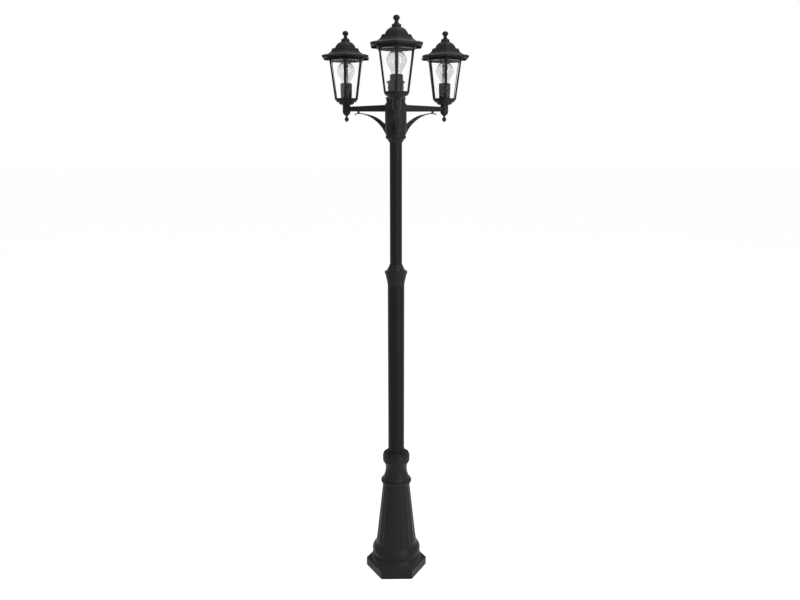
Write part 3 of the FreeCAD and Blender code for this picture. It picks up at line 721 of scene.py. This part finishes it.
def toward_head(points, number):
    """Turns points about the mast from the +X direction to the arm's."""
    angle = math.radians(FRONT + 120 * (number - 1))
    x, y, z = points[..., 0], points[..., 1], points[..., 2]
    return np.stack([x * math.cos(angle) - y * math.sin(angle),
                     x * math.sin(angle) + y * math.cos(angle), z], axis=-1)


def arm_points():
    """Corner(x) = (x, half width * u, middle + half height * v), with both halves linear in x."""
    x = np.linspace(HUB_FLAT, reach - ARM_END, 24)[:, None]
    share = (x - HUB_FLAT) / (reach - HUB_FLAT)
    low, high, wide = (start + change * share for start, change in (ARM_LOW, ARM_HIGH, ARM_WIDTH))
    u = np.array([0.5, 1, 1, 0.5, -0.5, -1, -1, -0.5])
    v = np.array([-1, -0.16, 0.16, 1, 1, 0.16, -0.16, -1])
    return np.stack([x + 0 * u, wide / 2 * u, (low + high) / 2 + (high - low) / 2 * v], axis=2)


print("an arm is %.0f mm long" % (reach - ARM_END - HUB_FLAT))


# %% Curves and straps
def smooth_through(points, count):
    """A smooth curve through points: cubic pieces whose slopes come from the neighbours."""
    points = np.array(points, float)
    knots = np.concatenate([[0], np.cumsum(np.linalg.norm(np.diff(points, axis=0), axis=1))])
    slopes = np.gradient(points, knots, axis=0)
    s = np.linspace(0, knots[-1], count)
    k = np.clip(np.searchsorted(knots, s) - 1, 0, len(knots) - 2)
    span = (knots[k + 1] - knots[k])[:, None]
    u = (s - knots[k])[:, None] / span
    return ((1 + 2 * u) * (1 - u) ** 2 * points[k] + u * (1 - u) ** 2 * span * slopes[k]
            + u ** 2 * (3 - 2 * u) * points[k + 1] + u ** 2 * (u - 1) * span * slopes[k + 1])


STRAP_HALF = 4.0  # half of a strap's width
SQUARE = 0.3  # 1 gives an oval section, 0 a sharp oblong


def strap(lower, upper):
    """Section(t) = middle + across * sin(t) and half width * cos(t), where the sine and the cosine
    are raised to the power SQUARE with their sign kept, which squares the oval off."""
    t = turns(24) + math.pi / 24
    side = np.sign(np.cos(t)) * np.abs(np.cos(t)) ** SQUARE
    rise = np.sign(np.sin(t)) * np.abs(np.sin(t)) ** SQUARE
    middle, across = (lower + upper) / 2, (upper - lower) / 2
    flat = middle[:, None] + across[:, None] * rise[:, None]
    wide = np.broadcast_to(STRAP_HALF * side, flat.shape[:2])
    return np.stack([flat[..., 0], wide, flat[..., 1]], axis=2)


under = smooth_through([(42.5, 1653), (52.8, 1669), (73, 1689), (103, 1708), (131, 1717),
                        (150, 1719.4), (158, 1719.2), (163.5, 1717.3), (165.6, 1716.9)], 60)
above = smooth_through([(HUB_FLAT, 1676), (48, 1687), (66, 1699.5), (90, 1711), (121, 1718.4),
                        (147.5, 1722.6), (155, 1722.6), (161.5, 1720.8), (166.2, 1718.6)], 60)
tie = smooth_through([(150.4, 1720), (150.6, 1724), (151, 1728)], 6)
tie_points = strap(tie - (3, 0), tie + (3, 0))
print("a scroll's strap has %d sections" % len(under))

# %% Three arms with their scrolls
for k in HEADS:
    piece("arm_beam_%d" % k, [shell(toward_head(capped(arm_points()), k))], "mast_head", cast_coat,
          "arm_%d" % k, bevel=0.7)
    scroll = [shell(toward_head(capped(points), k)) for points in (strap(under, above), tie_points)]
    piece("scroll_strap_%d" % k, scroll, "mast_head", cast_coat, "scroll_%d" % k)

# %% [markdown]
# ## Lanterns
#
# The three lanterns are the same, so each shape is worked out once on the lantern's own axis and then
# moved three times. The frame's corner radius grows with height along a straight line, and the ribs,
# the panes and both rims all follow it.

# %% Placing and the taper
FOOT, HEAD = (45.2, 1768.0), (63.6, 1896.0)  # corner radius and height, at two places of the taper
TURN_TO_CORNER = -30.0


def at_head(shells, number):
    """Turns shells so that a corner points away from the mast, and moves them to the lantern's axis."""
    turn = axes(math.radians(FRONT + 120 * (number - 1) + TURN_TO_CORNER))
    axis = np.array([lantern_axis[number].x, lantern_axis[number].y, 0]) * MM
    return [(points @ turn + axis, faces) for points, faces in shells]


def taper(height):
    """Corner radius of the frame at a height."""
    return np.interp(height, (FOOT[1], HEAD[1]), (FOOT[0], HEAD[0]))


bowl_shell = turned((5, 1717), (8, 1717), ((11.2, 1719.5), (13, 1724)), (14, 1726), (14, 1750.5),
                    (15.5, 1752.5), ((24.5, 1754), (27.8, 1759.5)), (29.2, 1760.5),
                    ((34.5, 1762), (36.8, 1768)), (5, 1768), (5, 1717), soft=0.35)
drop_shell = turned((0, 1692), (1.4, 1692.4), (2, 1694.2), ((7.4, 1700), (4.2, 1708.5)),
                    ((3.6, 1712), (6.4, 1715)), (8, 1717), (3.5, 1717), (3.5, 1729), (0, 1729),
                    soft=0.25)
for k in HEADS:
    piece("stem_and_bowl_%d" % k, at_head([bowl_shell], k), "mast_head", cast_coat,
          "lantern_bowl_%d" % k)
    piece("drop_ball_%d" % k, at_head([drop_shell], k), "mast_head", cast_coat, "drop_finial_%d" % k)
print("the frame leans out by %.1f mm in 100" % (taper(1868) - FOOT[0]))

# %% [markdown]
# ## Ribs and rims
#
# A rib is an angle section: two narrow strips that meet at the frame's corner. Each is a prism whose
# foot and head sections both come from the taper. The rims are hexagonal skins with closed outlines,
# and the foot plate closes the bottom. A bevel modifier eases the ribs' edges, as a coat of paint does.

# %% The frame
RIB_STRIP = 5.6
SHEET = 3.0
RIB_ENDS = (1771, 1901)
RIM_LOW = 1899.6  # underside of the head rim, where the panes end


def rib_points(corner):
    """Section at each height: from the corner c, along both sides by the strip's width, and in by the
    sheet's thickness. The inner corner lies thickness / cos 30 further in."""
    height = np.linspace(*RIB_ENDS, 12)[:, None, None]
    angle = math.radians(30 + 60 * corner)
    out, left, right, beside_left, beside_right = (
        axes(angle + turn)[0, :2] for turn in (0, 2 * math.pi / 3, -2 * math.pi / 3,
                                               math.pi / 6, -math.pi / 6))
    offsets = np.array([0 * out, RIB_STRIP * left, RIB_STRIP * left - SHEET * beside_left,
                        -SHEET / FLAT * out, RIB_STRIP * right - SHEET * beside_right,
                        RIB_STRIP * right])
    plan = taper(height) * out + offsets
    return capped(np.concatenate([plan, np.broadcast_to(height, plan.shape[:2] + (1,))], axis=2))


ribs = [shell(rib_points(corner)) for corner in range(6)]
foot_rim = turned((5, 1768), FOOT, (taper(1773), 1773), (taper(1773) - 3.4, 1773),
                  (taper(1772) - 3.4, 1771.5), (5, 1771.5), (5, 1768), ring=hexagon, soft=0.25)
head_rim = turned((54, RIM_LOW), (66.8, RIM_LOW), (66.8, 1903.7), (58, 1903.7), (58, 1907.7),
                  (54, 1907.7), (54, RIM_LOW), ring=hexagon, soft=0.25)
for k in HEADS:
    piece("frame_ribs_and_rims_%d" % k, at_head(ribs + [foot_rim, head_rim], k), "mast_head", cast_coat,
          "lantern_frame_%d" % k, bevel=0.35)
print("a frame has %d ribs and 2 rims" % len(ribs))

# %% [markdown]
# ## Panes
#
# Six flat trapezoids of glass stand inside the ribs. Each is a closed slab with two large faces, so
# light bends into it and out again, and its cut edges look dark, as real ones do.

# %% Glass slabs
GLASS = 2.5
PANE_EDGE = 2.6
PANE_ENDS = (1772.0, RIM_LOW - 0.3)
AIR = 0.1  # left free before and behind a pane


def pane_points(side):
    """Four corners on the outer face and four on the inner: across = taper / 2 - edge, and depth =
    taper * cos 30 less the sheet's thickness and the air, and less the glass's for the inner face."""
    height = np.array(PANE_ENDS)
    half = taper(height) / 2 - PANE_EDGE
    depth = taper(height) * FLAT - SHEET - AIR
    out, across = axes(math.radians(60 * side))[:2, :2]
    corners = ((0, -1), (0, 1), (1, 1), (1, -1))
    return capped(np.array([
        [np.append(out * far[i] + across * half[i] * s, height[i]) for i, s in corners]
        for far in (depth - GLASS + AIR, depth)]))


panes = [shell(pane_points(side)) for side in range(6)]
for k in HEADS:
    piece("six_panes_%d" % k, at_head(panes, k), "mast_head", pane_glass, "glass_panes_%d" % k,
          bevel=0.3)
print("a pane is %.0f mm high" % (PANE_ENDS[1] - PANE_ENDS[0]))

# %% [markdown]
# ## Lamp
#
# The bulb is a clear pear of the usual size, blown thin. Inside, a glass stem carries two lead wires
# and a filament that hangs across in a shallow bow. The holder is a moulded phenolic cup with
# a waist ring, and the bulb's cap is rolled into a coarse round thread.

# %% Places on the ball, and wires
BALL_R, BALL_Z = 30.5, 1867.0
BULB_WALL = 0.9
NO_WIRE = (0.31, 0.17, 0.93)  # a direction that no wire runs in


def on_ball(radius, degrees):
    """Point at a height angle on a circle about the bulb's middle."""
    return (radius * math.cos(math.radians(degrees)), BALL_Z + radius * math.sin(math.radians(degrees)))


def wire(points, radius, count=40):
    """A round section carried along a curve: centre(s) + radius * (side * cos t + normal * sin t)."""
    line = smooth_through(points, count)
    along = np.gradient(line, axis=0)
    along /= np.linalg.norm(along, axis=1)[:, None]
    side = np.cross(along, NO_WIRE)
    side /= np.linalg.norm(side, axis=1)[:, None]
    normal = np.cross(side, along)
    t = turns(8)[:, None]
    ring = np.cos(t) * side[:, None] + np.sin(t) * normal[:, None]
    return shell(capped(line[:, None] + radius * ring))


print("the bulb is %.0f mm wide" % (2 * BALL_R))

# %% Holder, bulb, cap, stem and filament
holder = turned((5, 1771.5), (18, 1771.5), (18.8, 1773), (19.4, 1796), (19.9, 1797), (20.1, 1823),
                (19, 1825), (16, 1825), (15.4, 1823), (15.4, 1787), (5, 1787), (5, 1771.5), soft=0.3)
inner = BALL_R - BULB_WALL
glass = turned((0, 1815.2), (13, 1815.2), (13, 1820), ((17.4, 1836), on_ball(BALL_R, -35)),
               (on_ball(BALL_R, 15), (0, BALL_Z + BALL_R)), soft=0.4)
hollow = turned((0, BALL_Z + inner), (on_ball(inner, 15), on_ball(inner, -35)),
                ((16.5, 1836.4), (12.2, 1820)), (12.2, 1816.2), (0, 1816.2), soft=0.4)
hollow = (hollow[0], hollow[1][:, ::-1])  # faces the other way, since it is the inner wall
turns_of_thread = rows((0, 1790.4), (3.6, 1790.4), (4.8, 1791.6), (9.6, 1792.8), (12.6, 1796),
                       ((13.2, 1797.8), (12.4, 1799.6)), ((13.2, 1801.4), (12.4, 1803.2)),
                       ((13.2, 1805), (12.4, 1806.8)), ((13.2, 1808.6), (12.9, 1811)), (12.9, 1815),
                       (0, 1815), soft=0.2)
stem = turned((0, 1816.3), (9, 1816.3), ((5.2, 1822), (3.4, 1832)), (3, 1842),
              ((2.4, 1845), (0, 1846)), soft=0.4)
leads = [wire([(s * 2, 0, 1838), (s * 4, 0, 1848), (s * 12, 0, 1858), (s * 15, 0, 1866)], 0.35)
         for s in (-1, 1)]
prop = wire([(0, 0, 1844), (0, 0, 1856), (0, 0.5, 1867)], 0.25)
filament = wire([(-15, 0, 1866), (-8, 1.2, 1867.4), (0, 0.5, 1867), (8, 1.2, 1867.4),
                 (15, 0, 1866)], 0.45, 60)
for k in HEADS:
    body = "bulb_%d" % k
    piece("holder_cup_%d" % k, at_head([holder], k), "mast_head", holder_plastic,
          "lamp_holder_%d" % k)
    piece("pear_glass_%d" % k, at_head([glass, hollow], k), body, bulb_glass, "bulb_glass_%d" % k)
    piece("screw_cap_%d" % k, at_head([skin(turns_of_thread)], k), body, nickel, "bulb_cap_%d" % k)
    piece("stem_press_%d" % k, at_head([stem], k), body, bulb_glass)
    piece("filament_and_leads_%d" % k, at_head([*leads, prop, filament], k), body, tungsten)
print("lamps:", len(HEADS))

# %% [markdown]
# ## Roofs
#
# The roof is a thin casting in two tiers: a convex dome over a concave flare, with a step between and
# a fascia at the brim. Six flat-sided panels meet at crisp hips. It is the hexagonal ring once more,
# carried along the section, outside and inside, so the roof is hollow as the real one is. Behind the
# fascia the section turns up into a recess and comes down again as a skirt, which stands on the
# frame's rim. The finial has a small hexagonal foot. Three captive screws hold the skirt down, and
# are a little shorter here than in the model, so that they end above the window.

# %% Roof and finial
roof = turned((0, 1963.5), (17.5, 1963.5), ((32.6, 1954.3), (41.8, 1941)), (52, 1939.4),
              ((59, 1927.3), (80, 1918.4)), (92.6, 1914.2), (93, 1913), (91, 1907.5), (89, 1907.5),
              (89.4, 1911.5), (79.4, 1915.4), (70, 1918.2), (70, 1904), (59, 1904), (59, 1906.5),
              (67.4, 1906.5), (67.4, 1919.4), ((57, 1925), (49.6, 1936.9)),
              (39.3, 1938.5), ((30.5, 1951.7), (14, 1960.5)), (0, 1960.5), ring=hexagon,
              shape={"rounding": 1.2}, soft=0.3, turn=5.0)
finial_foot = turned((0, 1963.4), (17, 1963.4), (17, 1970), (14, 1973), (0, 1973),
                     ring=hexagon, shape={"rounding": 0.6}, soft=0.2)
finial_ball = turned((0, 1972), (12, 1972.8), ((8, 1976), (5.9, 1981)), ((6.2, 1984), (8.6, 1986.2)),
                     ((10.6, 1991), (7.8, 1997.6)), ((4, 1999.7), (0, 2000)), soft=0.25)
print("faces of a roof before drilling:", len(roof[1]))

# %% Screws of the roof
LID_SCREWS = (90, 210, 330)
SCREW_AWAY = 63.0  # from the lantern's axis
screw_ways = [upright_rod(2.2, SCREW_AWAY, angle, 1900, 1910) for angle in LID_SCREWS]
screw_ways += [upright_rod(3.7, SCREW_AWAY, angle, 1918, 1935) for angle in LID_SCREWS]


def screw_at(angle):
    """The lid screw, moved out along a radius of the lantern."""
    points, faces = turned((0, 1900), (2, 1900), (2, 1918), (3.4, 1918), (3.4, 1922.6), (2.8, 1923.6),
                           (0, 1923.6), soft=0.15)
    return points + SCREW_AWAY * MM * axes(math.radians(angle))[0], faces


lid_screws = [screw_at(angle) for angle in LID_SCREWS]
for k in HEADS:
    body = "roof_lid_%d" % k
    sockets = at_head([upright_rod(1.5, SCREW_AWAY, angle, 1921, 1926)
                       for angle in LID_SCREWS], k)
    piece("captive_lid_screws_%d" % k, at_head(lid_screws, k), body, black_screw,
          "roof_screws_%d" % k, holes=sockets)
    piece("two_tier_roof_%d" % k, at_head([roof], k), body, cast_coat, "roof_%d" % k,
          holes=at_head(screw_ways, k))
    piece("ball_finial_%d" % k, at_head([finial_foot, finial_ball], k), body, cast_coat,
          "roof_finial_%d" % k)

# %% [markdown]
# ## Finishes of the pieces that stay as they are
#
# Screws, nuts, bushes and the parts inside the base keep the model's own shapes. Each gets the finish
# of the real one, by the start of its name.

# %% Assign the small parts
small_parts = {
    "ground_plate": zinc_plate, "cable_grommet": rubber, "terminal_block": terminal_plastic,
    "earth_screw": brass, "base_screws": black_screw, "tube_set_screws": black_screw,
    "guide_bush": nylon, "height_lock_screws": black_screw, "slide_bush": nylon,
    "hub_screws": black_screw, "arm_nuts": zinc_plate, "fixing_tubes": zinc_plate,
    "holder_contacts": brass,
}
for name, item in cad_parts.items():
    finish = [f for start, f in small_parts.items() if name.startswith(start)]
    item.data.materials.clear()
    item.data.materials.append(finish[0] if finish else cast_coat)
print("kinds of small parts:", len(small_parts))

# %% [markdown]
# ## Floor, light and background
#
# The post stands on a white studio floor, in front of nothing but white. That white isn't more light:
# the floor and the world add it only for rays that come from the camera, from a mirroring surface or
# through glass, so the coat and the panes show the white studio while the light on the post stays at a
# plain level. The floor's own light grey lies below that glow, so the plinth's shadow is kept.

# %% Floor and world
def shows_background(target):
    """1 for a camera, glossy or transmission ray, and else 0."""
    sight = add(target, "LightPath")
    seen = sight.outputs["Is Camera Ray"]
    for kind in ("Is Glossy Ray", "Is Transmission Ray"):
        either = add(target, "Math", {0: seen, 1: sight.outputs[kind]}, operation="MAXIMUM")
        seen = either.outputs["Value"]
    return seen


FLOOR_HALF = 60  # metres
WORLD_FILL = 0.15  # the world's light on the object, where 1 is white
FLOOR_GLOW = 0.88
corners = [(x * FLOOR_HALF, y * FLOOR_HALF, 0) for x, y in ((-1, -1), (1, -1), (1, 1), (-1, 1))]
floor_mesh = bpy.data.meshes.new("studio_floor")
floor_mesh.from_pydata(corners, [], [(0, 1, 2, 3)])
floor = in_scene("studio_floor", floor_mesh)
white, output = new_material("white_sweep")
matt = add(white, "BsdfDiffuse", Color=colour("#e0e0e0"))
strength = add(white, "MapRange", {"Value": shows_background(white)}, To_Min=0.0, To_Max=FLOOR_GLOW)
glow = add(white, "Emission", {"Strength": strength.outputs["Result"]}, Color=(1, 1, 1, 1))
both = add(white, "AddShader", {0: matt.outputs["BSDF"], 1: glow.outputs["Emission"]})
floor_mesh.materials.append(surface(white, output, both.outputs["Shader"]))

world = bpy.data.worlds.new("studio")
bpy.context.scene.world = world
world.use_nodes = True
world.node_tree.nodes.clear()
level = add(world, "MapRange", {"Value": shows_background(world)}, To_Min=WORLD_FILL, To_Max=1.0)
sky = add(world, "Background", {"Strength": level.outputs["Result"]}, Color=(1, 1, 1, 1))
add(world, "OutputWorld", {"Surface": sky.outputs["Background"]})
print("world's fill %.2f, floor's glow %.2f" % (WORLD_FILL, FLOOR_GLOW))

# %% [markdown]
# ## Lights
#
# A matt black coat shows its form by a few narrow sheens. A small key box and a tall strip, both at
# the front right, draw them down the right of the tubes, rings and roofs. A weak box at the left and
# one overhead keep the other sides from going flat. Area lights are used, since their size sets how
# soft a sheen is.


# %% Soft boxes
def soft_box(name, place, target, size, power):
    """An area light at place that faces target."""
    light = bpy.data.lights.new(name, "AREA")
    light.shape = "RECTANGLE"
    light.size, light.size_y = size
    light.energy = power
    lamp = in_scene(name, light)
    lamp.location = place
    lamp.rotation_euler = (Vector(target) - Vector(place)).to_track_quat("-Z", "Y").to_euler()


soft_boxes = {  # place, target and size in metres, power in watts
    "key_box": ((1.5, -2.0, 2.9), (0, 0, 1.3), (0.6, 0.6), 34),
    "strip_box": ((1.9, -2.2, 1.2), (0, 0, 0.9), (0.6, 2.0), 30),
    "side_box": ((-2.6, -0.8, 1.6), (0, 0, 1.1), (1.0, 2.2), 6),
    "overhead": ((0.3, 0.9, 3.6), (0, 0, 1.2), (1.4, 1.4), 5),
}
for name, box in soft_boxes.items():
    soft_box(name, *box)
print("lights:", ", ".join(soft_boxes))

# %% [markdown]
# ## Camera
#
# The camera stands at eye level, two and a half metres in front of the post, and looks down a little.
# Its place and lens come from how the plinth, the collars and the three lanterns line up in the
# photograph.

# %% Camera
TILT, SWING = math.radians(77.94), math.radians(-1.0)
camera_data = bpy.data.cameras.new("camera")
camera_data.lens = 31.54
camera_data.sensor_width = 36.0
camera = in_scene("camera", camera_data)
camera.location = (-0.029, -2.483, 1.594)
camera.rotation_euler = (TILT, 0, SWING)
bpy.context.scene.camera = camera
bpy.context.scene.view_settings.view_transform = "Standard"
print("camera: %.2f mm lens, %.3f m from the mast" % (camera_data.lens, -camera.location.y))
